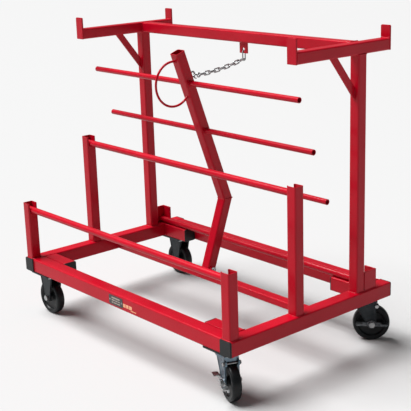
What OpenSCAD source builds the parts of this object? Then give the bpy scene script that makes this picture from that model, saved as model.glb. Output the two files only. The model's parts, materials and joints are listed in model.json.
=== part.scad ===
// Wire-reel and conduit cart: a welded tube frame on four casters, with lift-out reel rods,
// a tilting centre arm that carries three more rods, and hooked cradle arms along the top.
// Millimetres. X runs along the front beam, Y to the back, Z up from the floor.

/* [Base] */
// Length of the base over both side beams
base_length = 1155; // [1000:1:1400]
// Depth of the base over its end caps
base_depth = 740; // [660:1:900]
// Outer size of the square base tube
base_tube = 50.8; // [48:0.1:60]
// Wall of every frame tube
tube_wall = 2.6; // [2:0.1:3.2]
// Height of the base tube's underside above the floor
base_height = 165.1; // [160:0.1:175]
// Length of the short tubes beside the front and rear beams
corner_length = 128.7; // [100:0.1:150]
// Flange thickness of the plastic end caps
cap_flange = 5; // [3:0.5:6]

/* [Posts] */
// Outer size of the square post tube
post_tube = 38.1; // [35:0.1:42]
// Height of the front posts above the base
front_post_h = 213; // [180:1:260]
// Height of the tall posts above the base
tall_post_h = 420; // [360:1:460]
// Height of the rear uprights above the base
upright_h = 790; // [740:1:840]
// Front face of the tall posts, from the middle of the base
tall_post_y = -86; // [-110:1:-70]
// Front face of the rear uprights, from the middle of the base
upright_y = 201; // [190:1:210]
// Depth of the rod slot below a post's top
slot_depth = 38; // [30:1:44]

/* [Rods] */
// Outside diameter of the three reel rods
rod_d = 23.4; // [20:0.1:25]
// Wall of the reel rods
rod_wall = 2; // [1.2:0.1:3]
// Outside diameter of the rods on the tilting arm
arm_rod_d = 19; // [17:0.1:21]
// Length of each rod on the tilting arm
arm_rod_length = 1060; // [900:1:1066]
// Height of the pockets that hold the rear rod
pocket_h = 66; // [50:1:80]
// Depth of those pockets behind the uprights
pocket_depth = 58; // [50:1:66]

/* [Cradle] */
// Front end of the cradle arms, from the middle of the base
cradle_front = -78; // [-90:1:-60]
// Back end of the cradle arms
cradle_back = 354; // [340:1:364]
// Height of the end hooks, from the underside of the cradle arms
hook_h = 79; // [60:1:100]
// Thickness of hooks and flat bars
flat_t = 6.4; // [5:0.1:8]
// Slope of the braces from the level
brace_angle = 51.5; // [48:0.5:55]

/* [Tilting arm] */
// Length of the lower part, from the pivot to the bend
arm_lower_l = 262; // [240:1:280]
// Length of the upper part, from the bend to the top
arm_upper_l = 579; // [560:1:600]
// Lean of both parts from upright
arm_lean = 19.8; // [17:0.1:21]
// Distance from the bend to the lowest arm rod
first_rod = 96; // [90:1:110]
// Distance between the arm rods
rod_pitch = 184; // [170:1:190]
// Radius of the handle loop, to the middle of its bar
handle_r = 76; // [60:1:80]

/* [Casters] */
// Wheel diameter
wheel_d = 127; // [120:1:130]
// Width of the wheel's tread
wheel_w = 31.8; // [28:0.1:33]
// Distance from the middle of the base to each caster's mounting centre
caster_x = 495; // [480:1:500]
// Offset of the wheel from the swivel axis
swivel_lead = 33; // [30:1:38]
// Rest heading of the front swivel caster
front_heading = -22; // [-25:1:0]
// Rest heading of the rear swivel caster
rear_heading = 45; // [30:1:50]

/* [Hidden] */
$fn = 48;

red = [0.80, 0.05, 0.12];
zinc = [0.72, 0.74, 0.76];
dark_steel = [0.25, 0.27, 0.29];
black = [0.05, 0.05, 0.05];

// Base
base_top = base_height + base_tube;
half_x = base_length / 2;
half_y = base_depth / 2 - cap_flange;      // the ends of the side beams, under their caps
side_x = half_x - base_tube / 2;
beam_y = half_y - base_tube / 2;
inner_x = half_x - base_tube;
cap_plug = 8;
cap_play = 0.3;                            // gap round a cap's plug, inside the tube

// Posts, uprights and cradle
post_x = side_x;
post_inner_x = post_x - post_tube / 2;
front_post_y = -half_y;
cradle_z = base_top + upright_h;
upright_back = upright_y + post_tube;
brace_w = 25.4;
brace_reach = 98;                          // from the upright to the brace's middle line

// Rods: a slot's round bottom holds the rod, with a little room at its sides
slot_w = rod_d + 2.6;
rod_seat = slot_depth - rod_d / 2;         // the rod's axis below the post's top
rod_gap = 0.3;                             // rest gap between a lift-out rod and its seat
rod_half = post_x + post_tube / 2 - tube_wall - 1.5;
rear_rod_y = upright_back + 41;
pocket_t = 5;

// Crossbar and arm pivot
crossbar_w = 38.1;
crossbar_h = 25.4;
pivot_y = 46;
pivot_rise = 17;
pivot_z = base_height + crossbar_h + pivot_rise;
pivot_r = 4.76;
pivot_play = 0.06;
ear_t = 5;
ear_r = 11;
arm_play = 0.5;                            // gap between the arm and each ear
arm_end = 10;                              // the arm's end below its pivot
bend_y = pivot_y + arm_lower_l * sin(arm_lean);
bend_z = pivot_z + arm_lower_l * cos(arm_lean);
arm_rod_r = arm_rod_d / 2;
arm_rod_neck = 0.5;                        // the rods are this much slimmer inside the arm
arm_rod_edge = 1;                          // and for this much outside each of its faces
handle_bar = 8;
handle_out = 36;                           // the loop's centre in front of the arm's front face
handle_at = 487;                           // the loop's centre along the upper part

// Chain: wire links between the lug under the top beam and the eye on the arm
lug_x = 30;
lug_w = 38;
lug_h = 38;
lug_t = 6;
lug_y = upright_y + 14;
lug_web = 6;                               // metal left under the lug's hole
lug_hole_r = 7;
link_wire = 4.6;
link_len = 22.8;                           // inside length of a link
link_wid = 7.4;                            // inside width of a link
top_link_len = 31;                         // inside length of the long link that hangs in the lug
top_link_play = 1.65;                      // room over the lug's web for the long link's round end
swing_z = cradle_z - lug_h + lug_web + top_link_play - top_link_len + link_wid / 2;
link_count = 9;
chain_dip = 6;
eye_s = 484;                               // the eye along the arm's upper part
eye_bar = 6;
eye_r = 9;
eye_x = 8;
hook_x = eye_x + eye_bar / 2 + 0.8 + link_wire / 2;
chain_start = [lug_x - 0.2, lug_y - 3, swing_z - 0.7];
chain_end = [hook_x, 22, base_top + 698.6];

// Casters
caster_y = beam_y - base_tube / 2;
plate_l = 114.3;
plate_w = 101.6;
plate_t = 5;
bolt_dx = 46;
bolt_dy = 33.3;
bolt_r = 4.76;
axle_z = wheel_d / 2;
axle_r = 6.35;
axle_play = 0.06;
fork_gap = 37;
fork_t = 5;
race_r = 34;
race_h = 10;
crown_top = base_height - plate_t - race_h - 0.5;
crown_t = 7;
skirt_t = 4;
skirt_h = 20;                              // the crown's front edge, turned down over the wheel
lever_t = 4;
lever_l = 108;
lever_h = 14;
nut_h = 9;
nut_af = 19;

// A rectangle with round corners
module rounded_rect(w, h, r) {
    square([w - 2 * r, h], center = true);
    square([w, h - 2 * r], center = true);
    for (x = [-1, 1], y = [-1, 1]) translate([x * (w / 2 - r), y * (h / 2 - r)]) circle(r = r);
}

// A rectangular tube along Z, its walls open at both ends
module box_tube(w, h, length) {
    linear_extrude(length) difference() {
        rounded_rect(w, h, 2 * tube_wall);
        rounded_rect(w - 2 * tube_wall, h - 2 * tube_wall, tube_wall);
    }
}

module along_x(length) { translate([-length / 2, 0, 0]) rotate([90, 0, 90]) children(); }
module along_y(length) { translate([0, length / 2, 0]) rotate([90, 0, 0]) children(); }

// A round tube along X, centred
module pipe(d, length, wall) {
    translate([-length / 2, 0, 0]) rotate([0, 90, 0]) difference() {
        cylinder(d = d, h = length);
        translate([0, 0, -1]) cylinder(d = d - 2 * wall, h = length + 2);
    }
}

module hex(af, h) { cylinder(d = af / cos(30), h = h, $fn = 6); }

// A ring of round wire in the YZ plane, from angle a over sweep degrees
module wire_ring(r, wire, a = 0, sweep = 360) {
    rotate([90, 0, 90]) rotate([0, 0, a])
        rotate_extrude(angle = sweep) translate([r, 0]) circle(d = wire, $fn = 24);
}

// ---- Base ----

module caster_holes(x, y, dx, dy) {
    for (sx = dx, sy = dy)
        translate([x + sx * bolt_dx, y + sy * bolt_dy, base_height - 1])
            cylinder(r = bolt_r + 0.3, h = 8, $fn = 24);
}

module side_beam(side) {
    color(red) difference() {
        translate([side * side_x, 0, base_height + base_tube / 2])
            along_y(2 * half_y) box_tube(base_tube, base_tube, 2 * half_y);
        for (end = [-1, 1]) caster_holes(side * caster_x, end * caster_y, [side], [-1, 1]);
    }
}
module side_beam_left() { side_beam(-1); }
module side_beam_right() { side_beam(1); }

module cross_beam(end) {
    color(red) difference() {
        translate([0, end * beam_y, base_height + base_tube / 2])
            along_x(2 * inner_x) box_tube(base_tube, base_tube, 2 * inner_x);
        for (side = [-1, 1]) caster_holes(side * caster_x, end * caster_y, [-side], [end]);
    }
}
module front_beam() { cross_beam(-1); }
module rear_beam() { cross_beam(1); }

module corner_tubes() {
    color(red) for (side = [-1, 1], end = [-1, 1]) difference() {
        translate([side * (inner_x - corner_length / 2), end * (beam_y - base_tube),
                base_height + base_tube / 2])
            along_x(corner_length) box_tube(base_tube, base_tube, corner_length);
        caster_holes(side * caster_x, end * caster_y, [-side], [-end]);
    }
}

module mid_crossbar() {
    color(red) translate([0, pivot_y, base_height + crossbar_h / 2])
        along_x(2 * inner_x) box_tube(crossbar_w, crossbar_h, 2 * inner_x);
}

// A cap looking along +Z: a flange over the tube's end and a plug inside it
module end_cap() {
    plug = base_tube - 2 * tube_wall - 2 * cap_play;
    difference() {
        union() {
            linear_extrude(cap_flange - 1.5) rounded_rect(base_tube, base_tube, 5);
            translate([0, 0, cap_flange - 1.5]) linear_extrude(1.5)
                rounded_rect(base_tube - 3, base_tube - 3, 4);
            translate([0, 0, -cap_plug]) linear_extrude(cap_plug)
                rounded_rect(plug, plug, 3);
        }
        translate([0, 0, -cap_plug - 1]) linear_extrude(cap_plug)
            rounded_rect(plug - 6, plug - 6, 2);
    }
}

module end_caps() {
    color(black) for (side = [-1, 1], end = [-1, 1]) {
        translate([side * side_x, end * half_y, base_height + base_tube / 2])
            rotate([-90 * end, 0, 0]) end_cap();
        translate([side * (inner_x - corner_length), end * (beam_y - base_tube),
                base_height + base_tube / 2])
            rotate([0, -90 * side, 0]) end_cap();
    }
}

// ---- Posts and uprights ----

// A post whose inner wall is slotted from the top for a rod
module slotted_post(side, y, height) {
    color(red) translate([side * post_x, y + post_tube / 2, base_top]) difference() {
        box_tube(post_tube, post_tube, height);
        translate([-side * post_tube / 2, 0, height - slot_depth + slot_w / 2]) {
            rotate([0, 90, 0]) cylinder(d = slot_w, h = 4 * tube_wall, center = true);
            translate([-2 * tube_wall, -slot_w / 2, 0])
                cube([4 * tube_wall, slot_w, slot_depth]);
        }
    }
}
module front_post_left() { slotted_post(-1, front_post_y, front_post_h); }
module front_post_right() { slotted_post(1, front_post_y, front_post_h); }
module tall_post_left() { slotted_post(-1, tall_post_y, tall_post_h); }
module tall_post_right() { slotted_post(1, tall_post_y, tall_post_h); }

module upright(side) {
    color(red) translate([side * post_x, upright_y + post_tube / 2, base_top])
        box_tube(post_tube, post_tube, upright_h);
}
module upright_left() { upright(-1); }
module upright_right() { upright(1); }

// An angle bracket: an outer wall behind the upright and a back wall across the rod's end
module rod_pocket(side) {
    outer = post_x + post_tube / 2;
    back_w = 48;
    wall = [[0, 0], [pocket_t, 0], [pocket_t, pocket_depth - pocket_t],
            [back_w, pocket_depth - pocket_t], [back_w, pocket_depth], [0, pocket_depth]];
    color(red) translate([side * outer, upright_back, base_top])
        linear_extrude(pocket_h) polygon([for (p = wall) [-side * p[0], p[1]]]);
}
module rod_pocket_left() { rod_pocket(-1); }
module rod_pocket_right() { rod_pocket(1); }

// ---- Cradle ----

module cradle_arm(side) {
    length = cradle_back - cradle_front - 2 * flat_t;
    color(red) translate([side * post_x, (cradle_front + cradle_back) / 2,
            cradle_z + post_tube / 2])
        along_y(length) box_tube(post_tube, post_tube, length);
}
module cradle_arm_left() { cradle_arm(-1); }
module cradle_arm_right() { cradle_arm(1); }

// An upturned plate that closes a cradle arm's end, its top corners eased
module hook_plate(side, y) {
    ease = 3;
    half = post_tube / 2;
    outline = [[-half, 0], [half, 0], [half, hook_h - ease], [half - ease, hook_h],
               [ease - half, hook_h], [-half, hook_h - ease]];
    color(red) translate([side * post_x, y + flat_t, cradle_z])
        rotate([90, 0, 0]) linear_extrude(flat_t) polygon(outline);
}
module hook_front_left() { hook_plate(-1, cradle_front); }
module hook_front_right() { hook_plate(1, cradle_front); }
module hook_back_left() { hook_plate(-1, cradle_back - flat_t); }
module hook_back_right() { hook_plate(1, cradle_back - flat_t); }

module top_beam() {
    length = 2 * post_inner_x;
    color(red) translate([0, upright_y + post_tube / 2, cradle_z + post_tube / 2])
        along_x(length) box_tube(post_tube, post_tube, length);
}

// A flat bar from the upright's front face up to the cradle arm's underside
module brace(side) {
    level = brace_w / sin(brace_angle) / 2;
    plumb = brace_w / cos(brace_angle) / 2;
    drop = brace_reach * tan(brace_angle);
    outline = [[upright_y - brace_reach - level, cradle_z],
               [upright_y - brace_reach + level, cradle_z],
               [upright_y, cradle_z - drop + plumb], [upright_y, cradle_z - drop - plumb]];
    color(red) translate([side * post_x - flat_t / 2, 0, 0])
        rotate([90, 0, 90]) linear_extrude(flat_t) polygon(outline);
}
module brace_left() { brace(-1); }
module brace_right() { brace(1); }

// ---- Arm pivot, lug and nameplate ----

module pivot_bracket() {
    inner = post_tube / 2 + arm_play;
    color(red) for (side = [-1, 1])
        translate([side > 0 ? inner : -inner - ear_t, pivot_y, pivot_z]) difference() {
            union() {
                rotate([0, 90, 0]) cylinder(r = ear_r, h = ear_t);
                translate([0, -ear_r, -pivot_rise]) cube([ear_t, 2 * ear_r, pivot_rise]);
            }
            translate([-1, 0, 0]) rotate([0, 90, 0])
                cylinder(r = pivot_r + pivot_play, h = ear_t + 2);
        }
}

pivot_outer = post_tube / 2 + arm_play + ear_t;

module pivot_bolt() {
    head = 6;
    color(zinc) translate([-pivot_outer - head, pivot_y, pivot_z]) rotate([0, 90, 0]) {
        hex(14.3, head);
        cylinder(r = pivot_r, h = 2 * pivot_outer + head + 12);
    }
}

module pivot_nut() {
    color(zinc) translate([pivot_outer, pivot_y, pivot_z]) rotate([0, 90, 0]) difference() {
        hex(14.3, 8);
        translate([0, 0, -1]) cylinder(r = pivot_r, h = 10);
    }
}

module chain_lug() {
    color(red) difference() {
        translate([lug_x - lug_w / 2, lug_y - lug_t / 2, cradle_z - lug_h])
            cube([lug_w, lug_t, lug_h]);
        translate([lug_x, lug_y, cradle_z - lug_h + lug_web + lug_hole_r])
            rotate([90, 0, 0]) cylinder(r = lug_hole_r, h = lug_t + 2, center = true);
    }
}

plate_x = -6;
plate_z = base_height + base_tube / 2;
name_w = 78;
name_h = 33;
rivet_dx = name_w / 2 - 6;

module nameplate() {
    color(black) translate([plate_x, -half_y, plate_z]) rotate([90, 0, 0]) difference() {
        linear_extrude(1) rounded_rect(name_w, name_h, 5);
        for (side = [-1, 1]) translate([side * rivet_dx, 0, -1]) cylinder(r = 1.7, h = 3);
    }
}

// Each rivet has a thin shank in the plate and a low domed head over it
module nameplate_rivets() {
    color(zinc) for (side = [-1, 1])
        translate([plate_x + side * rivet_dx, -half_y, plate_z]) rotate([90, 0, 0]) {
            cylinder(r = 1.6, h = 1.1);
            translate([0, 0, 1]) rotate_extrude()
                polygon([[0, 0], for (a = [0:15:90]) [3.2 * cos(a), 1.3 * sin(a)]]);
        }
}

// ---- Tilting arm ----

// Places children on the arm's upper part: X across, Y to the back of its axis, Z along it
module on_upper() { translate([0, bend_y, bend_z]) rotate([arm_lean, 0, 0]) children(); }
module on_lower() { translate([0, pivot_y, pivot_z]) rotate([-arm_lean, 0, 0]) children(); }

// Everything on one side of the plane that halves the bend
module bend_side(up) {
    translate([-100, -100, up ? bend_z : bend_z - 400]) cube([200, 400, 400 + (up ? 300 : 0)]);
}

module arm_lower() {
    color(red) difference() {
        intersection() {
            on_lower() translate([0, 0, -arm_end])
                box_tube(post_tube, post_tube, arm_lower_l + arm_end + post_tube);
            bend_side(false);
        }
        translate([-post_tube, pivot_y, pivot_z]) rotate([0, 90, 0])
            cylinder(r = pivot_r + pivot_play, h = 2 * post_tube);
    }
}

module arm_upper() {
    color(red) difference() {
        intersection() {
            on_upper() translate([0, 0, -post_tube])
                box_tube(post_tube, post_tube, arm_upper_l + post_tube);
            bend_side(true);
        }
        on_upper() for (k = [0:2])
            translate([-post_tube, 0, first_rod + k * rod_pitch]) rotate([0, 90, 0])
                cylinder(r = arm_rod_r - arm_rod_neck, h = 2 * post_tube);
    }
}

// A round-bar loop whose ends butt on the arm's front face
module arm_handle() {
    face = -post_tube / 2;
    color(red) on_upper() intersection() {
        translate([0, face - handle_out, handle_at]) wire_ring(handle_r, handle_bar);
        translate([-handle_bar, face - 200, handle_at - 100]) cube([2 * handle_bar, 200, 200]);
    }
}

module arm_rod(k) {
    half = arm_rod_length / 2;
    held = post_tube / 2 + arm_rod_edge;
    neck_r = arm_rod_r - arm_rod_neck;
    bore_r = arm_rod_r - 2;
    profile = [[bore_r, -half], [arm_rod_r, -half], [arm_rod_r, -held], [neck_r, -held],
               [neck_r, held], [arm_rod_r, held], [arm_rod_r, half], [bore_r, half]];
    color(red) on_upper() translate([0, 0, first_rod + k * rod_pitch])
        rotate([0, 90, 0]) rotate_extrude() polygon(profile);
}
module arm_rod_top() { arm_rod(2); }
module arm_rod_middle() { arm_rod(1); }
module arm_rod_bottom() { arm_rod(0); }

// A round-bar ring welded by its edge to the arm's back face
module arm_eye() {
    color(zinc) on_upper() intersection() {
        translate([eye_x, post_tube / 2 + eye_r - 2, eye_s]) wire_ring(eye_r, eye_bar);
        translate([-50, post_tube / 2, eye_s - 50]) cube([100, 100, 100]);
    }
}

// ---- Chain ----

// One link in the XZ plane, its long way along Z, its middle at the origin
module chain_link(inside = link_len) {
    r = (link_wid + link_wire) / 2;
    straight = inside - link_wid;
    for (end = [-1, 1]) translate([0, 0, end * straight / 2]) rotate([90, 0, 0])
        rotate([0, 0, end > 0 ? 0 : 180])
            rotate_extrude(angle = 180) translate([r, 0]) circle(d = link_wire, $fn = 24);
    for (side = [-1, 1]) translate([side * r, 0, -straight / 2])
        cylinder(d = link_wire, h = straight, $fn = 24);
}

// The long link that hangs in the lug and carries the chain, its plane across X
module chain_top_link() {
    color(zinc) translate([lug_x, lug_y, swing_z + (top_link_len - link_wid) / 2])
        rotate([0, 0, 90]) chain_link(top_link_len);
}

// The chain's line: straight between its ends, with a small dip at the middle
function chain_at(t) = chain_start + t * (chain_end - chain_start) - [0, 0, 4 * chain_dip * t * (1 - t)];

module chain_links() {
    color(zinc) for (k = [0:link_count - 1]) {
        t = (k + 0.5) / link_count;
        d = chain_at(t + 0.01) - chain_at(t - 0.01);
        translate(chain_at(t))
            rotate([0, acos(d[2] / norm(d)), atan2(d[1], d[0])])
                rotate([0, 0, 90 * ((k + 1) % 2)]) chain_link();
    }
}

// An eye through the last link, and an open hook beside the arm's eye
module chain_hook() {
    color(zinc) translate(chain_end) {
        translate([0, -4.2, -0.8]) wire_ring(6.8, link_wire);
        translate([0, -17, -4.2]) wire_ring(6.3, link_wire, 90, 190);
        translate([0, -9.9, 2.1]) rotate([90, 0, 0])
            cylinder(d = link_wire - 0.4, h = 7.3, $fn = 24);
    }
}

// ---- Lift-out rods ----

module reel_rod(y, z) {
    color(red) translate([0, y, z + rod_gap]) pipe(rod_d, 2 * rod_half, rod_wall);
}
module front_rod() {
    reel_rod(front_post_y + post_tube / 2, base_top + front_post_h - rod_seat);
}
module tall_rod() { reel_rod(tall_post_y + post_tube / 2, base_top + tall_post_h - rod_seat); }
module rear_rod() {
    color(red) translate([0, rear_rod_y, base_top + rod_d / 2 + rod_gap])
        pipe(rod_d, 2 * (post_x + post_tube / 2 - pocket_t - 1.5), rod_wall);
}

// ---- Casters: each is drawn about its mounting centre, then set under a corner ----

module at_caster(side, end) { translate([side * caster_x, end * caster_y, 0]) children(); }
module heading(angle) { rotate([0, 0, angle]) translate([swivel_lead, 0, 0]) children(); }

module top_plate() {
    difference() {
        translate([0, 0, base_height - plate_t]) linear_extrude(plate_t)
            rounded_rect(plate_l, plate_w, 8);
        for (sx = [-1, 1], sy = [-1, 1])
            translate([sx * bolt_dx, sy * bolt_dy, base_height - plate_t - 1])
                cylinder(r = bolt_r + 0.3, h = plate_t + 2, $fn = 24);
    }
}

// A leg beside the wheel, from its top edge down to a round end on the axle
module fork_leg(side, top_z, top_from, top_to) {
    foot = 16;
    y0 = side > 0 ? fork_gap / 2 : -fork_gap / 2 - fork_t;
    outline = [[top_from, top_z], [top_from, top_z - 12], [-foot, axle_z], [foot, axle_z],
               [top_to, top_z - 12], [top_to, top_z]];
    translate([0, y0 + fork_t, 0]) rotate([90, 0, 0]) linear_extrude(fork_t) difference() {
        union() {
            polygon(outline);
            translate([0, axle_z]) circle(r = foot);
        }
        translate([0, axle_z]) circle(r = axle_r + axle_play);
    }
}

module rigid_caster(end) {
    color(dark_steel) at_caster(-1, end) {
        top_plate();
        for (side = [-1, 1]) fork_leg(side, base_height - plate_t, -36, 36);
    }
}
module rigid_caster_front() { rigid_caster(-1); }
module rigid_caster_rear() { rigid_caster(1); }

// The fixed half of a swivel: plate, upper race and kingpin with its lower head
module swivel_plate(end) {
    king_r = axle_r;
    head_z = crown_top - crown_t - 0.4 - 6;
    color(dark_steel) at_caster(1, end) {
        top_plate();
        translate([0, 0, base_height - plate_t - race_h])
            cylinder(r1 = race_r, r2 = race_r + 4, h = race_h);
        translate([0, 0, head_z]) cylinder(r = king_r, h = base_height - plate_t - head_z);
        translate([0, 0, head_z]) cylinder(r = 11, h = 6);
    }
}
module swivel_plate_front() { swivel_plate(-1); }
module swivel_plate_rear() { swivel_plate(1); }

// The turning half: a crown under the race and two legs that trail to the axle
module swivel_fork(end, angle) {
    finish = end < 0 ? zinc : dark_steel;
    color(finish) at_caster(1, end) rotate([0, 0, angle]) difference() {
        union() {
            translate([0, 0, crown_top - crown_t]) cylinder(r = race_r + 1, h = crown_t);
            translate([-24, -fork_gap / 2 - fork_t, crown_top - crown_t])
                cube([70, fork_gap + 2 * fork_t, crown_t]);
            translate([46 - skirt_t, -fork_gap / 2 - fork_t, crown_top - skirt_h])
                cube([skirt_t, fork_gap + 2 * fork_t, skirt_h]);
            translate([swivel_lead, 0, 0]) for (side = [-1, 1])
                fork_leg(side, crown_top - crown_t / 2, -24 - swivel_lead, 46 - swivel_lead);
        }
        translate([0, 0, crown_top - crown_t - 1])
            cylinder(r = axle_r + axle_play, h = crown_t + 2);
    }
}
module swivel_fork_front() { swivel_fork(-1, front_heading); }
module swivel_fork_rear() { swivel_fork(1, rear_heading); }

// A wheel about its own axle, along Y: crowned tread, dished sides and a long hub
module wheel() {
    r = wheel_d / 2;
    w = wheel_w / 2;
    hub_r = 15;
    hub_w = fork_gap / 2 - 0.5;
    bore = axle_r + axle_play;
    profile = [[bore, -hub_w], [hub_r, -hub_w], [hub_r + 1, -w + 5], [r - 17, -w + 4],
               [r - 15, -w], [r - 5, -w], [r - 2, -w + 1.6], [r, -w + 6], [r, w - 6],
               [r - 2, w - 1.6], [r - 5, w], [r - 15, w], [r - 17, w - 4],
               [hub_r + 1, w - 5], [hub_r, hub_w], [bore, hub_w]];
    color(black) translate([0, 0, axle_z]) rotate([90, 0, 0])
        rotate_extrude($fn = 96) polygon(profile);
}
module wheel_rigid_front() { at_caster(-1, -1) wheel(); }
module wheel_rigid_rear() { at_caster(-1, 1) wheel(); }
module wheel_swivel_front() { at_caster(1, -1) heading(front_heading) wheel(); }
module wheel_swivel_rear() { at_caster(1, 1) heading(rear_heading) wheel(); }

// A bolt through both legs along Y: its head at -Y, over extra_t of lever, its nut at +Y
module axle_bolt(extra_t) {
    outer = fork_gap / 2 + fork_t;
    translate([0, -outer - extra_t, axle_z]) rotate([90, 0, 0]) hex(nut_af, 8);
    translate([0, outer + nut_h + 3, axle_z]) rotate([90, 0, 0])
        cylinder(r = axle_r, h = 2 * outer + extra_t + nut_h + 3);
    translate([0, outer + nut_h, axle_z]) rotate([90, 0, 0]) hex(nut_af, nut_h);
}

module rigid_axle_bolts() {
    color(zinc) for (end = [-1, 1]) at_caster(-1, end) axle_bolt(0);
}
lever_room = lever_t + 0.8;
module axle_bolt_front() { color(zinc) at_caster(1, -1) heading(front_heading) axle_bolt(lever_room); }
module axle_bolt_rear() { color(zinc) at_caster(1, 1) heading(rear_heading) axle_bolt(lever_room); }

// A lever that rocks on the axle outside the fork, with a foot tab bent out at each end.
// Its rear end stands lift degrees above the level.
module brake_lever(lift) {
    tab = 16;
    y = -fork_gap / 2 - fork_t - 0.4;
    color(zinc) translate([0, y, axle_z]) rotate([0, lift, 0]) difference() {
        union() {
            rotate([90, 0, 0]) linear_extrude(lever_t) union() {
                rounded_rect(lever_l, lever_h, 4);
                circle(r = 14);
            }
            for (end = [-1, 1])
                translate([end * (lever_l / 2 - 11) - 11, -lever_t - tab, lever_h / 2 - 3])
                    cube([22, tab + 1, 3]);
        }
        rotate([90, 0, 0]) translate([0, 0, -1])
            cylinder(r = axle_r + axle_play, h = lever_t + 2);
    }
}
module brake_lever_front() { at_caster(1, -1) heading(front_heading) brake_lever(8); }
module brake_lever_rear() { at_caster(1, 1) heading(rear_heading) brake_lever(2); }

module each_caster_bolt() {
    for (side = [-1, 1], end = [-1, 1], sx = [-1, 1], sy = [-1, 1])
        at_caster(side, end) translate([sx * bolt_dx, sy * bolt_dy, 0]) children();
}

module caster_bolts() {
    head = 6;
    under = base_height - plate_t;
    color(zinc) each_caster_bolt() {
        translate([0, 0, under - head]) hex(14.3, head);
        translate([0, 0, under - head])
            cylinder(r = bolt_r, h = head + plate_t + tube_wall + 11, $fn = 24);
    }
}

module caster_nuts() {
    color(zinc) each_caster_bolt() translate([0, 0, base_height + tube_wall]) difference() {
        hex(14.3, 8);
        translate([0, 0, -1]) cylinder(r = bolt_r, h = 10, $fn = 24);
    }
}

side_beam_left();
side_beam_right();
front_beam();
rear_beam();
corner_tubes();
mid_crossbar();
end_caps();
front_post_left();
front_post_right();
tall_post_left();
tall_post_right();
upright_left();
upright_right();
rod_pocket_left();
rod_pocket_right();
cradle_arm_left();
cradle_arm_right();
hook_front_left();
hook_front_right();
hook_back_left();
hook_back_right();
top_beam();
brace_left();
brace_right();
chain_lug();
pivot_bracket();
pivot_bolt();
pivot_nut();
nameplate();
nameplate_rivets();
arm_lower();
arm_upper();
arm_handle();
arm_rod_top();
arm_rod_middle();
arm_rod_bottom();
arm_eye();
chain_top_link();
chain_links();
chain_hook();
front_rod();
tall_rod();
rear_rod();
rigid_caster_front();
rigid_caster_rear();
rigid_axle_bolts();
swivel_plate_front();
swivel_plate_rear();
swivel_fork_front();
swivel_fork_rear();
axle_bolt_front();
axle_bolt_rear();
brake_lever_front();
brake_lever_rear();
wheel_rigid_front();
wheel_rigid_rear();
wheel_swivel_front();
wheel_swivel_rear();
caster_bolts();
caster_nuts();
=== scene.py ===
import json
import math

import bmesh
import bpy
from mathutils import Matrix, Vector


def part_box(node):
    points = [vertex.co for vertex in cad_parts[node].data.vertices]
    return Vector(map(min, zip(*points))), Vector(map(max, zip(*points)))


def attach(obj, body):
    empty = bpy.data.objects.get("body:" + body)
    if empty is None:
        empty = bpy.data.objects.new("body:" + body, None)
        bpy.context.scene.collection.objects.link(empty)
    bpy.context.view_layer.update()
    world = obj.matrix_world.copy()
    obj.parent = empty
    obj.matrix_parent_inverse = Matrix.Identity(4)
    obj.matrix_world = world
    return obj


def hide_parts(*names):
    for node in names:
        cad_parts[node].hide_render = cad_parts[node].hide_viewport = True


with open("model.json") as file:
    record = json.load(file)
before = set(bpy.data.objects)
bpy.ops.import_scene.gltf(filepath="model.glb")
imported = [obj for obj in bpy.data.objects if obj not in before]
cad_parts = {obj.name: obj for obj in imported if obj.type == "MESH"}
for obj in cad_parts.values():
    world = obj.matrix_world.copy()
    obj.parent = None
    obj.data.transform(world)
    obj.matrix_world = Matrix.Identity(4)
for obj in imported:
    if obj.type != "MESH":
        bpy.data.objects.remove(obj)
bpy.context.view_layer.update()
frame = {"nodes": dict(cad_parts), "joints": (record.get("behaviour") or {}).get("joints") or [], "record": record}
bodies = frame["record"]["behaviour"]["bodies"]
body_of_node = {node: body for body, group in bodies.items() for node in group}

# ---- Base beams ----
# Two full-depth side beams with the front, rear, corner and middle tubes welded between them.
# Square steel tube with rolled corners, in a glossy red powder coat with a faint orange peel.


class Value:
    """One output of a material's nodes; sums on it add Math nodes."""

    def __init__(self, paint, socket):
        self.paint, self.socket = paint, socket

    def math(self, operation, a, b):
        return self.paint.node("ShaderNodeMath", {"operation": operation}, {0: a, 1: b})

    def __add__(self, other):
        return self.math("ADD", self, other)

    def __sub__(self, other):
        return self.math("SUBTRACT", self, other)

    def __rsub__(self, other):
        return self.math("SUBTRACT", other, self)

    def __mul__(self, other):
        return self.math("MULTIPLY", self, other)

    __radd__, __rmul__ = __add__, __mul__


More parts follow.
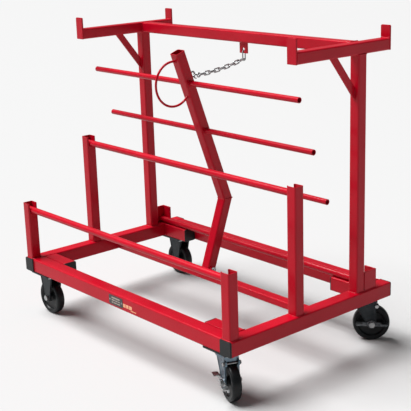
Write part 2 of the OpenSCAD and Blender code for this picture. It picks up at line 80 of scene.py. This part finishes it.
class Finish:
    """A surface finish: a Principled shader and the nodes that vary it over the piece."""

    def __init__(self, name, slot="", **constant):
        self.material = bpy.data.materials.new(name)
        self.slot = slot or name
        self.material.use_nodes = True
        self.tree = self.material.node_tree
        self.surface = self.tree.nodes["Principled BSDF"]
        for socket, value in constant.items():
            self.surface.inputs[socket.replace("_", " ")].default_value = value
        self.place = self.node("ShaderNodeTexCoord", output="Object")

    def node(self, kind, settings={}, sockets={}, output=0):
        made = self.tree.nodes.new(kind)
        for name, value in settings.items():
            if name == "stops":
                for stop, (position, colour) in zip(made.color_ramp.elements, value):
                    stop.position, stop.color = position, colour
            else:
                setattr(made, name, value)
        for name, value in sockets.items():
            if isinstance(value, Value):
                self.tree.links.new(value.socket, made.inputs[name])
            else:
                made.inputs[name].default_value = value
        return Value(self, made.outputs[output])

    def noise(self, scale, detail=2.0, rough=0.5):
        sizes = {"Vector": self.place, "Scale": scale, "Detail": detail, "Roughness": rough}
        return self.node("ShaderNodeTexNoise", {}, sizes)

    def blend(self, amount, first, second):
        colours = {0: amount, 6: first, 7: second}
        return self.node("ShaderNodeMix", {"data_type": "RGBA"}, colours, output=2)

    def steps(self, value, low, high):
        """value's part between low and high, as a mask from 0 to 1."""
        ends = {"Value": value, "From Min": low, "From Max": high}
        return self.node("ShaderNodeMapRange", {}, ends)

    def drive(self, socket, value):
        self.tree.links.new(value.socket, self.surface.inputs[socket])

    def relief(self, height, depth):
        sizes = {"Height": height, "Distance": depth, "Strength": 1.0}
        self.drive("Normal", self.node("ShaderNodeBump", {}, sizes))


powder_coat = {"Metallic": 0.0, "Coat_Weight": 0.2}
red = Finish("red_powder_coat", Specular_IOR_Level=0.1, Coat_Roughness=0.14, **powder_coat)
pooling = red.noise(9.0, 3.0)
speck = red.noise(420.0, 1.0)
shade = red.blend(red.steps(pooling, 0.3, 0.7), (0.40, 0.0006, 0.011, 1), (0.46, 0.0009, 0.014, 1))
fleck = red.steps(speck, 0.66, 0.78) * 0.35
red.drive("Base Color", red.blend(fleck, shade, (0.52, 0.006, 0.022, 1)))
red.drive("Roughness", red.steps(red.noise(26.0, 4.0), 0.2, 0.8) * 0.14 + 0.27)
red.relief(red.noise(330.0, 1.5) + red.noise(1300.0, 0.0) * 0.35, 0.00035)


def eased(node, edge, finish, segments=2):
    """The node's own solid with its sharp edges rounded over, in its finish."""
    source = frame["nodes"][node].data
    shape = bmesh.new()
    shape.from_mesh(source)
    bmesh.ops.remove_doubles(shape, verts=shape.verts, dist=4e-6)
    flat = math.radians(0.4)
    bmesh.ops.dissolve_limit(shape, angle_limit=flat, verts=shape.verts, edges=shape.edges)
    points = [v.co.copy() for v in shape.verts]
    rings = [[v.index for v in face.verts] for face in shape.faces]
    shape.free()
    mesh = bpy.data.meshes.new(node + "_finished")
    mesh.from_pydata(points, [], rings)
    piece = shown(mesh, finish, body_of_node[node])
    if edge:
        rounding = piece.modifiers.new("rounded edges", "BEVEL")
        rounding.width = edge
        rounding.segments = segments
        rounding.limit_method = "ANGLE"
        rounding.angle_limit = math.radians(35)
        rounding.use_clamp_overlap = True
    flats = piece.modifiers.new("true flats", "WEIGHTED_NORMAL")
    flats.keep_sharp = True
    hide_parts(node)
    return piece


def shown(mesh, finish, body):
    """Puts a finished mesh on show, smooth, as a piece that moves with a body."""
    mesh.validate()
    mesh.shade_smooth()
    mesh.materials.append(finish.material)
    piece = bpy.data.objects.new(mesh.name, mesh)
    bpy.context.scene.collection.objects.link(piece)
    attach(piece, body)
    return piece


def round_strip(points, radius, closed=False, step=0.0011, ripple=0.0):
    """A round bar along a line of points, its radius rippled like the laps of a weld."""
    line = [Vector(p) for p in points]
    if closed:
        line.append(line[0])
    walk = []
    length = 0.0
    for a, b in zip(line, line[1:]):
        count = max(1, int((b - a).length / step))
        for k in range(count):
            walk.append((a.lerp(b, k / count), length + (b - a).length * k / count))
        length += (b - a).length
    if not closed:
        walk.append((line[-1], length))
    sides = 8
    lap_pitch = 0.0034
    verts, faces = [], []
    count = len(walk)
    for i, (centre, along) in enumerate(walk):
        back = walk[i - 1][0] if i or closed else centre
        ahead = walk[(i + 1) % count][0] if i + 1 < count or closed else centre
        way = (ahead - back).normalized()
        across = way.cross(Vector((0.31, 0.42, 0.85))).normalized()
        up = across.cross(way)
        lap = 1 - ripple * abs(math.sin(math.pi * along / lap_pitch))
        if not closed:
            end = min(i, count - 1 - i)
            lap *= (0.55, 0.85, 1.0)[min(end, 2)]
        for s in range(sides):
            turn = 2 * math.pi * s / sides
            verts.append(centre + (across * math.cos(turn) + up * math.sin(turn)) * radius * lap)
    for i in range(count if closed else count - 1):
        j = (i + 1) % count
        for s in range(sides):
            t = (s + 1) % sides
            faces.append([i * sides + s, i * sides + t, j * sides + t, j * sides + s])
    if not closed:
        faces.append(list(range(sides - 1, -1, -1)))
        faces.append([(count - 1) * sides + s for s in range(sides)])
    return verts, faces


def joined(name, parts, finish, body):
    """Several strips or turned shapes as one piece."""
    verts, faces = [], []
    for more, rings in parts:
        start = len(verts)
        verts += more
        faces += [[start + k for k in ring] for ring in rings]
    mesh = bpy.data.meshes.new(name)
    mesh.from_pydata(verts, [], faces)
    return shown(mesh, finish, body)


def weld(points, radius=0.0021, closed=False):
    return round_strip(points, radius, closed, ripple=0.24)


def square_loop(low, high, z, corner=0.005):
    """The line round a square tube's foot, its corners rounded."""
    loop = []
    middles = ((high.x, high.y, 0), (low.x, high.y, 90), (low.x, low.y, 180), (high.x, low.y, 270))
    for x, y, start in middles:
        cx = x - corner if x == high.x else x + corner
        cy = y - corner if y == high.y else y + corner
        for turn in (0, 30, 60, 90):
            angle = math.radians(start + turn)
            loop.append((cx + corner * math.cos(angle), cy + corner * math.sin(angle), z))
    return loop


base_tubes = ("side_beam_left", "side_beam_right", "front_beam", "rear_beam")
base_tubes += ("corner_tubes", "mid_crossbar")
for node in base_tubes:
    eased(node, 0.0005, red)

base_tube = 0.0508
corner_length = 0.1287
base_welds = []
for beam in ("front_beam", "rear_beam"):
    low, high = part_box(beam)
    outer = low.y if beam == "front_beam" else high.y
    inner = high.y if beam == "front_beam" else low.y
    into = 1 if beam == "front_beam" else -1
    for x in (low.x, high.x):
        corner = outer + into * 0.004
        line = [(x, outer, low.z + 0.006), (x, outer, high.z - 0.005), (x, corner, high.z)]
        base_welds.append(weld(line + [(x, inner, high.z)], 0.0018))
    for side in (-1, 1):
        tube_end = side * (high.x - corner_length)
        seam = high.z - 0.0006
        base_welds.append(weld([(side * high.x, inner, seam), (tube_end, inner, seam)], 0.0019))
        line = [(side * high.x, inner, high.z), (side * high.x, inner + into * base_tube, high.z)]
        base_welds.append(weld(line, 0.0018))
low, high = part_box("mid_crossbar")
for x in (low.x, high.x):
    line = [(x, low.y, low.z + 0.003), (x, low.y, high.z - 0.003), (x, low.y + 0.003, high.z)]
    line += [(x, high.y - 0.003, high.z), (x, high.y, high.z - 0.003), (x, high.y, low.z + 0.003)]
    base_welds.append(weld(line, 0.0024))
joined("base_welds", base_welds, red, "frame")

# ---- End caps ----
# Black moulded plugs pushed into the open ends of the side beams and corner tubes.
# Each has a rounded flange, finely textured by its mould.

plastic = Finish("black_plastic", Metallic=0.0, Specular_IOR_Level=0.3)
grain = plastic.noise(900.0, 1.0)
bloom = plastic.steps(plastic.noise(40.0, 3.0), 0.35, 0.75)
black = plastic.blend(bloom * 0.5, (0.006, 0.007, 0.008, 1), (0.016, 0.017, 0.018, 1))
plastic.drive("Base Color", black)
plastic.drive("Roughness", grain * 0.12 + 0.38)
plastic.relief(grain, 0.00022)
eased("end_caps", 0.0009, plastic, 3)

# ---- Posts and uprights ----
# Four posts slotted from their open tops to hold the reel rods, and two tall rear uprights.
# Each stands on a side beam in a weld that runs right round its foot.

posts = ("front_post_left", "front_post_right", "tall_post_left", "tall_post_right")
uprights = ("upright_left", "upright_right")
post_welds = []
for node in posts + uprights:
    eased(node, 0.0005, red)
    low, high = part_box(node)
    post_welds.append(weld(square_loop(low, high, low.z), 0.0026, closed=True))
    if node in uprights:
        post_welds.append(weld(square_loop(low, high, high.z), 0.0022, closed=True))
joined("post_welds", post_welds, red, "frame")

# ---- Rod pockets ----
# Bent plates behind the uprights that stop the rear rod from rolling or sliding away.
# Welded to the beam's top and to the upright's back.

pocket_welds = []
for node in ("rod_pocket_left", "rod_pocket_right"):
    eased(node, 0.0009, red, 3)
    low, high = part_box(node)
    side = 1 if low.x > 0 else -1
    outer, inner = (high.x, low.x) if side > 0 else (low.x, high.x)
    foot = [(outer, low.y, low.z), (outer, high.y, low.z), (inner, high.y, low.z)]
    pocket_welds.append(weld(foot, 0.0024))
    pocket_welds.append(weld([(outer, low.y, low.z), (outer, low.y, high.z)], 0.0022))
joined("pocket_welds", pocket_welds, red, "frame")

# ---- Cradle ----
# The top beam ties two cradle arms together, and upturned plates at their ends keep long stock on.
# Flat-bar braces run from the uprights to the arms' undersides; every joint is fillet welded.

hooks = ("hook_front_left", "hook_front_right", "hook_back_left", "hook_back_right")
braces = ("brace_left", "brace_right")
for node in ("cradle_arm_left", "cradle_arm_right", "top_beam"):
    eased(node, 0.0005, red)
for node in hooks:
    eased(node, 0.0011, red, 3)
for node in braces:
    eased(node, 0.0008, red, 3)

cradle_welds = []
beam_low, beam_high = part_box("top_beam")
for side, end_x in ((-1, beam_low.x), (1, beam_high.x)):
    z0, z1, y0, y1 = beam_low.z, beam_high.z, beam_low.y, beam_high.y
    ring = [(end_x, y0, z0 + 0.003), (end_x, y0, z1 - 0.003), (end_x, y0 + 0.003, z1)]
    ring += [(end_x, y1 - 0.003, z1), (end_x, y1, z1 - 0.003), (end_x, y1, z0 + 0.003)]
    cradle_welds.append(weld(ring, 0.0023))
for node in hooks:
    low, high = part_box(node)
    y = high.y if low.y < 0 else low.y
    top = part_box("cradle_arm_left" if low.x < 0 else "cradle_arm_right")[1].z
    left_x, right_x = low.x + 0.0004, high.x - 0.0004
    line = [(left_x, y, low.z + 0.004), (left_x, y, top - 0.005), (low.x + 0.005, y, top)]
    line += [(high.x - 0.005, y, top), (right_x, y, top - 0.005), (right_x, y, low.z + 0.004)]
    cradle_welds.append(weld(line, 0.0022))
for node in braces:
    low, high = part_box(node)
    for x in (low.x, high.x):
        cradle_welds.append(weld([(x, low.y + 0.001, high.z), (x, low.y + 0.032, high.z)], 0.0021))
        cradle_welds.append(weld([(x, high.y, low.z + 0.001), (x, high.y, low.z + 0.040)], 0.0021))
joined("cradle_welds", cradle_welds, red, "frame")

# ---- Chain lug and arm bracket ----
# A drilled plate under the top beam takes the chain; two ears on the crossbar hold the arm.
# Cut from flat bar and welded on before painting.

eased("chain_lug", 0.0007, red, 3)
eased("pivot_bracket", 0.0006, red, 3)
small_welds = []
low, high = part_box("chain_lug")
for y in (low.y, high.y):
    small_welds.append(weld([(low.x, y, high.z), (high.x, y, high.z)], 0.0019))
low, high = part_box("pivot_bracket")
for x in (low.x, high.x):
    small_welds.append(weld([(x, low.y, low.z), (x, high.y, low.z)], 0.0019))
joined("bracket_welds", small_welds, red, "frame")

# ---- Tilting arm ----
# Square tube mitred to a dog-leg, with three round rods through it and a round-bar loop to pull.
# The mitre, the rods and the loop's ends are welded all round.

eased("arm_lower", 0.0005, red)
eased("arm_upper", 0.0005, red)
eased("arm_handle", 0.0, red)
arm_rods = ("arm_rod_top", "arm_rod_middle", "arm_rod_bottom")
arm_welds = []
half = 0.01905
for node in arm_rods:
    eased(node, 0.0004, red)
    low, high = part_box(node)
    middle, reach = (low + high) / 2, (high.z - low.z) / 2
    for x in (-half, half):
        turns = [math.radians(10 * k) for k in range(36)]
        rise = [(middle.y + reach * math.cos(t), middle.z + reach * math.sin(t)) for t in turns]
        circle = [(x, y, z) for y, z in rise]
        arm_welds.append(weld(circle, 0.0019, closed=True))
lean = math.radians(19.8)
along = Vector((0, -math.sin(lean), math.cos(lean)))
ahead = Vector((0, -math.cos(lean), -math.sin(lean)))
rod_low, rod_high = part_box("arm_rod_bottom")
lowest_rod = 0.096
bend = (rod_low + rod_high) / 2 - along * lowest_rod
cut = Vector((0, half / math.cos(lean), 0))
front, back = bend - cut, bend + cut
mitre = []
insets = ((0.0045, 0.0), (0.0012, 0.0012), (0.0, 0.0045))
for x, point in ((-1, front), (1, front), (1, back), (-1, back)):
    toward = 1 if point is front else -1
    for inset in insets if x == toward else reversed(insets):
        mitre.append((x * (half - inset[0]), point.y + toward * inset[1], point.z))
arm_welds.append(weld(mitre, 0.0021, closed=True))
grip_along, grip_out, loop_radius = 0.487, 0.036, 0.076
grip = bend + along * grip_along + ahead * (half + grip_out)
chord = math.sqrt(loop_radius**2 - grip_out**2)
for way in (-1, 1):
    end = grip - ahead * grip_out + along * way * chord
    sideways = Vector((1, 0, 0))
    turns = [math.radians(20 * k) for k in range(18)]
    foot = [end + sideways * 0.0042 * math.cos(t) + along * 0.0046 * math.sin(t) for t in turns]
    arm_welds.append(weld(foot, 0.0016, closed=True))
joined("arm_welds", arm_welds, red, "swing_arm")

# ---- Lift-out reel rods ----
# Lengths of round tube that lie loose in the post slots and the rear pockets.
# Powder coated like the frame, in a slightly brighter batch.

rod_gloss = {"Specular_IOR_Level": 0.12, "Coat_Roughness": 0.16}
rod_red = Finish("rod_powder_coat", "red_powder_coat", **powder_coat, **rod_gloss)
tone = rod_red.steps(rod_red.noise(7.0, 3.0), 0.3, 0.7)
rod_red.drive("Base Color", rod_red.blend(tone, (0.40, 0.0006, 0.011, 1), (0.47, 0.0009, 0.014, 1)))
rod_red.drive("Roughness", rod_red.steps(rod_red.noise(40.0, 3.0), 0.2, 0.8) * 0.16 + 0.26)
rod_red.relief(rod_red.noise(360.0, 1.5), 0.0003)
for node in ("front_rod", "tall_rod", "rear_rod"):
    eased(node, 0.0005, rod_red)

# ---- Chain, hook and fixings ----
# Short-link chain with a long top link and a hook, and the bolts and nuts, in zinc plate.
# Rolled and pressed steel, slightly clouded by the plating bath.

zinc = Finish("zinc_plate", Metallic=1.0)
cloud = zinc.steps(zinc.noise(60.0, 4.0), 0.3, 0.7)
zinc.drive("Base Color", zinc.blend(cloud, (0.30, 0.31, 0.32, 1), (0.46, 0.47, 0.47, 1)))
zinc.drive("Roughness", cloud * 0.16 + 0.26)
zinc.relief(zinc.noise(700.0, 2.0), 0.00012)
for node in ("chain_top_link", "chain_links", "chain_hook", "arm_eye"):
    eased(node, 0.0, zinc)
for node in ("pivot_bolt", "pivot_nut", "caster_bolts", "caster_nuts", "rigid_axle_bolts"):
    eased(node, 0.0007, zinc, 3)
for node in ("axle_bolt_front", "axle_bolt_rear"):
    eased(node, 0.0007, zinc)
eased("nameplate_rivets", 0.0003, zinc)

# ---- Nameplate ----
# A thin black plate riveted to the front beam, with pale raised bars in place of its printing.
# Three tan blocks and a thin bar beside it stand for a sticker on the beam: no letters.

label = Finish("black_label", Metallic=0.0, Coat_Weight=0.3, Coat_Roughness=0.3)
rub = label.steps(label.noise(120.0, 4.0), 0.4, 0.8)
ink = label.blend(rub * 0.4, (0.010, 0.009, 0.009, 1), (0.030, 0.027, 0.026, 1))
label.drive("Base Color", ink)
label.drive("Roughness", rub * 0.2 + 0.3)
eased("nameplate", 0.0003, label)
print_grey = Finish("label_print", "black_label", Metallic=0.0)
fade = print_grey.steps(print_grey.noise(260.0, 2.0), 0.3, 0.7)
print_grey.drive("Base Color", print_grey.blend(fade, (0.30, 0.24, 0.20, 1), (0.50, 0.42, 0.36, 1)))
print_grey.drive("Roughness", fade * 0.1 + 0.45)


def slab(low, high, place=Matrix()):
    """A plain block between two corners."""
    xs, ys, zs = zip(low, high)
    verts = [place @ Vector((x, y, z)) for x in xs for y in ys for z in zs]
    faces = [(0, 1, 3, 2), (4, 6, 7, 5), (0, 4, 5, 1), (2, 3, 7, 6), (0, 2, 6, 4), (1, 5, 7, 3)]
    return verts, faces


print_width = 0.046
proud, sunk = 0.00025, 0.0002
low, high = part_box("nameplate")
rows = ((0.0085, 0.0042, ((-0.5, 0.5),)), (0.0, 0.0036, ((-0.5, -0.12), (-0.04, 0.22), (0.3, 0.5))))
rows += ((-0.0085, 0.0036, ((-0.5, -0.28), (-0.2, 0.1), (0.18, 0.5))),)
middle = (low + high) / 2
bars = []
for rise, tall, spans in rows:
    for start, end in spans:
        z = middle.z + rise
        near, far = middle.x + start * print_width, middle.x + end * print_width
        bars.append(slab((near, low.y - proud, z - tall / 2), (far, low.y + sunk, z + tall / 2)))
joined("nameplate_bars", bars, print_grey, "frame").data.shade_flat()
sticker_tan = Finish("sticker_print", "black_label", Metallic=0.0)
fade = sticker_tan.steps(sticker_tan.noise(180.0, 2.0), 0.3, 0.7)
tan = sticker_tan.blend(fade, (0.75, 0.28, 0.13, 1), (0.85, 0.50, 0.30, 1))
sticker_tan.drive("Base Color", tan)
sticker_tan.drive("Roughness", fade * 0.1 + 0.4)
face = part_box("front_beam")[0].y
blocks = ((0.034, 0.048), (0.0505, 0.0645), (0.067, 0.083))
marks = [(x0, x1, 0.1805, 0.1925) for x0, x1 in blocks] + [(0.076, 0.106, 0.1755, 0.1785)]
stripes = [slab((x0, face - proud, z0), (x1, face + sunk, z1)) for x0, x1, z0, z1 in marks]
joined("beam_stripes", stripes, sticker_tan, "frame").data.shade_flat()

# ---- Wheels ----
# Solid black caster wheels, moulded in one with a dished web, a shoulder ring and a long hub.
# Each runs on a plain bearing whose steel shield shows at the hub.

rubber = Finish("wheel_rubber", Metallic=0.0, Specular_IOR_Level=0.25)
dust = rubber.steps(rubber.noise(45.0, 5.0, 0.6), 0.5, 0.8)
dusty = rubber.blend(dust * 0.35, (0.003, 0.004, 0.005, 1), (0.020, 0.022, 0.024, 1))
rubber.drive("Base Color", dusty)
rubber.drive("Roughness", dust * 0.2 + 0.36)
rubber.relief(rubber.noise(500.0, 3.0), 0.0002)


def turned(profile, place, sides=96):
    """A closed profile of (radius, across) in millimetres, turned about a wheel's axle."""
    count = len(profile)
    verts, faces = [], []
    for k in range(sides):
        turn = 2 * math.pi * k / sides
        for radius, across in profile:
            point = Vector((radius * math.cos(turn), across, radius * math.sin(turn))) / 1000
            verts.append(place @ point)
    for k in range(sides):
        n = (k + 1) % sides
        for i in range(count):
            j = (i + 1) % count
            faces.append([k * count + i, k * count + j, n * count + j, n * count + i])
    return verts, faces


half_wheel = [(6.45, 17.6), (6.9, 18.0), (13.9, 18.0), (14.7, 17.2), (15.4, 10.9), (16.6, 9.3)]
half_wheel += [(19, 8.7), (30, 8.0), (41, 8.7), (44, 9.6), (45.6, 11.4), (46.4, 13.9)]
half_wheel += [(47.6, 15.0), (50.6, 15.4), (51.2, 14.8), (52.4, 14.8), (53.0, 15.4), (56, 15.8)]
half_wheel += [(59, 15.2), (61.4, 13.2), (62.7, 10.4), (63.3, 6.5), (63.5, 2.0)]
wheel_profile = half_wheel + [(radius, -across) for radius, across in reversed(half_wheel)]
shield_profile = [(6.6, 18.0), (7.0, 18.3), (11.6, 18.3), (12.6, 17.9)]
shield_profile += [(radius, -across) for radius, across in reversed(shield_profile)]
joints = {joint["child"]: joint for joint in frame["joints"]}
wheel_nodes = ("wheel_rigid_front", "wheel_rigid_rear", "wheel_swivel_front", "wheel_swivel_rear")
wheel_places = {}
for node in wheel_nodes:
    spin = joints[body_of_node[node]]
    axis = Vector(spin["axis"])
    heading = Matrix.Rotation(math.atan2(-axis.x, axis.y), 4, "Z")
    place = Matrix.Translation(Vector(spin["pos_m"])) @ heading
    wheel_places[node] = place
    wheel = joined(node + "_moulding", [turned(wheel_profile, place)], rubber, body_of_node[node])
    wheel.data.set_sharp_from_angle(angle=math.radians(50))
    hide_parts(node)
    joined(node + "_shields", [turned(shield_profile, place, 48)], zinc, body_of_node[node])

# ---- Casters ----
# Rigid casters at the left, swivel casters with kingpins at the right, all of pressed steel plate.
# Their legs have rolled edges; the front swivel's fork is bright zinc and the others are dark.

dark = Finish("grey_caster_steel", Metallic=0.75)
stain = dark.steps(dark.noise(38.0, 4.0), 0.3, 0.7)
dark.drive("Base Color", dark.blend(stain, (0.012, 0.015, 0.018, 1), (0.040, 0.046, 0.050, 1)))
dark.drive("Roughness", stain * 0.18 + 0.3)
dark.relief(dark.noise(500.0, 2.0), 0.00015)
bright = Finish("bright_zinc", Metallic=0.95)
cloud = bright.steps(bright.noise(48.0, 4.0), 0.3, 0.7)
bright.drive("Base Color", bright.blend(cloud, (0.07, 0.10, 0.13, 1), (0.20, 0.26, 0.31, 1)))
bright.drive("Roughness", cloud * 0.18 + 0.24)
bright.relief(bright.noise(420.0, 2.0), 0.00015)
for node in ("rigid_caster_front", "rigid_caster_rear", "swivel_plate_front", "swivel_plate_rear"):
    eased(node, 0.0009, dark, 3)
fork_finish = {"front": bright, "rear": dark}
for end, finish in fork_finish.items():
    eased("swivel_fork_" + end, 0.0012, finish, 3)


def rolled_edges(place, top, wide_back, wide_front):
    """The rolled edges down both sides of a fork's two legs, and the boss round its axle."""
    leg_out, boss, roll = 23.3, 15.0, 0.0018
    parts = []
    for side in (-1, 1):
        y = side * leg_out
        for a, b in ((wide_back, -boss), (wide_front, boss)):
            line = [(a, y, top), (a, y, top - 10), (b, y, 1.0)]
            parts.append(round_strip([place @ (Vector(p) / 1000) for p in line], roll, step=0.004))
        turns = [math.radians(180 + 15 * k) for k in range(13)]
        ring = [Vector((boss * math.cos(t), y, boss * math.sin(t))) for t in turns]
        parts.append(round_strip([place @ (p / 1000) for p in ring], roll, step=0.004))
    return parts


for end in ("front", "rear"):
    edges = rolled_edges(wheel_places["wheel_rigid_" + end], 96.0, -35.0, 35.0)
    joined("rigid_fork_edges_" + end, edges, dark, "frame")
    edges = rolled_edges(wheel_places["wheel_swivel_" + end], 79.0, -55.5, 12.0)
    joined("swivel_fork_edges_" + end, edges, fork_finish[end], "swivel_" + end)

# A bright bolt crosses the mouth of each swivel fork, through two small ears.
cross_head = [(0.01, -31.0), (6.0, -31.0), (7.0, -30.2), (7.0, -26.0), (0.01, -26.0)]
cross_shank = [(0.01, -26.0), (3.1, -26.0), (3.1, 29.0), (2.6, 29.6), (0.01, 29.6)]
cross_nut = [(3.1, 23.7), (6.4, 23.7), (6.4, 28.2), (5.8, 28.8), (3.1, 28.8)]
for end in ("front", "rear"):
    mouth = wheel_places["wheel_swivel_" + end] @ Matrix.Translation((0.0165, 0, 0.0655))
    parts = [turned(cross_head, mouth, 6), turned(cross_shank, mouth, 24)]
    parts.append(turned(cross_nut, mouth, 6))
    bolt = joined("cross_bolt_" + end, parts, zinc, "swivel_" + end)
    bolt.data.set_sharp_from_angle(angle=math.radians(40))
    ears = [slab((-0.008, y, -0.007), (0.0065, y + 0.005, 0.008), mouth) for y in (-0.0235, 0.0185)]
    ear_pair = joined("cross_bolt_ears_" + end, ears, fork_finish[end], "swivel_" + end)
    ear_pair.data.shade_flat()

# ---- Brake levers ----
# A rocking lever on each swivel caster's axle, pressed from zinc-plated strip.
# Its two ends are bent out into foot tabs; the rear lever's zinc is darker and a little rougher than the front's.

# The rear lever's finish: the same zinc plating, in darker greys and a little rougher.
dull = Finish("dull_zinc", "zinc_plate", Metallic=0.9)
scuff = dull.steps(dull.noise(90.0, 4.0), 0.35, 0.7)
dull.drive("Base Color", dull.blend(scuff, (0.05, 0.055, 0.06, 1), (0.17, 0.18, 0.19, 1)))
dull.drive("Roughness", scuff * 0.2 + 0.28)
dull.relief(dull.noise(600.0, 2.0), 0.00012)
eased("brake_lever_front", 0.001, zinc, 3)
eased("brake_lever_rear", 0.001, dull, 3)

# ---- Studio ----
# A plain pale floor under soft daylight from above the front, and a camera at standing height.

floor_mesh = bpy.data.meshes.new("studio_floor")
far = 30
corners = [(-far, -far, 0), (far, -far, 0), (far, far, 0), (-far, far, 0)]
floor_mesh.from_pydata(corners, [], [(0, 1, 2, 3)])
floor = bpy.data.objects.new("studio_floor", floor_mesh)
bpy.context.scene.collection.objects.link(floor)
pale = Finish("pale_floor", Roughness=0.9)
pale.surface.inputs["Base Color"].default_value = (0.47, 0.47, 0.47, 1)
floor_mesh.materials.append(pale.material)

world = bpy.data.worlds.new("studio")
world.use_nodes = True
world.node_tree.nodes["Background"].inputs["Color"].default_value = (1.0, 1.0, 1.0, 1)
world.node_tree.nodes["Background"].inputs["Strength"].default_value = 0.18
bpy.context.scene.world = world

key = bpy.data.lights.new("key", "SUN")
key.energy = 6.3
key.angle = math.radians(40)
key_light = bpy.data.objects.new("key", key)
key_light.rotation_euler = Vector((0.38, 0.28, -0.88)).to_track_quat("-Z", "Y").to_euler()
bpy.context.scene.collection.objects.link(key_light)

lens = bpy.data.cameras.new("camera")
film_width = 36
lens.lens = 1033.5 / 411 * film_width
lens.sensor_width = film_width
lens.clip_end = 100
camera = bpy.data.objects.new("camera", lens)
bpy.context.scene.collection.objects.link(camera)
turn, tip, roll = math.radians(49.65), math.radians(-15.84), math.radians(-1.85)
forward = Vector((-math.sin(turn) * math.cos(tip), math.cos(turn) * math.cos(tip), math.sin(tip)))
level = Vector((math.cos(turn), math.sin(turn), 0))
upward = level.cross(forward)
right = level * math.cos(roll) + upward * math.sin(roll)
upward = upward * math.cos(roll) - level * math.sin(roll)
axes = Matrix((right, upward, -forward)).transposed().to_4x4()
camera.matrix_world = Matrix.Translation(Vector((2.697, -2.250, 1.447))) @ axes
bpy.context.scene.camera = camera
bpy.context.scene.view_settings.view_transform = "Standard"
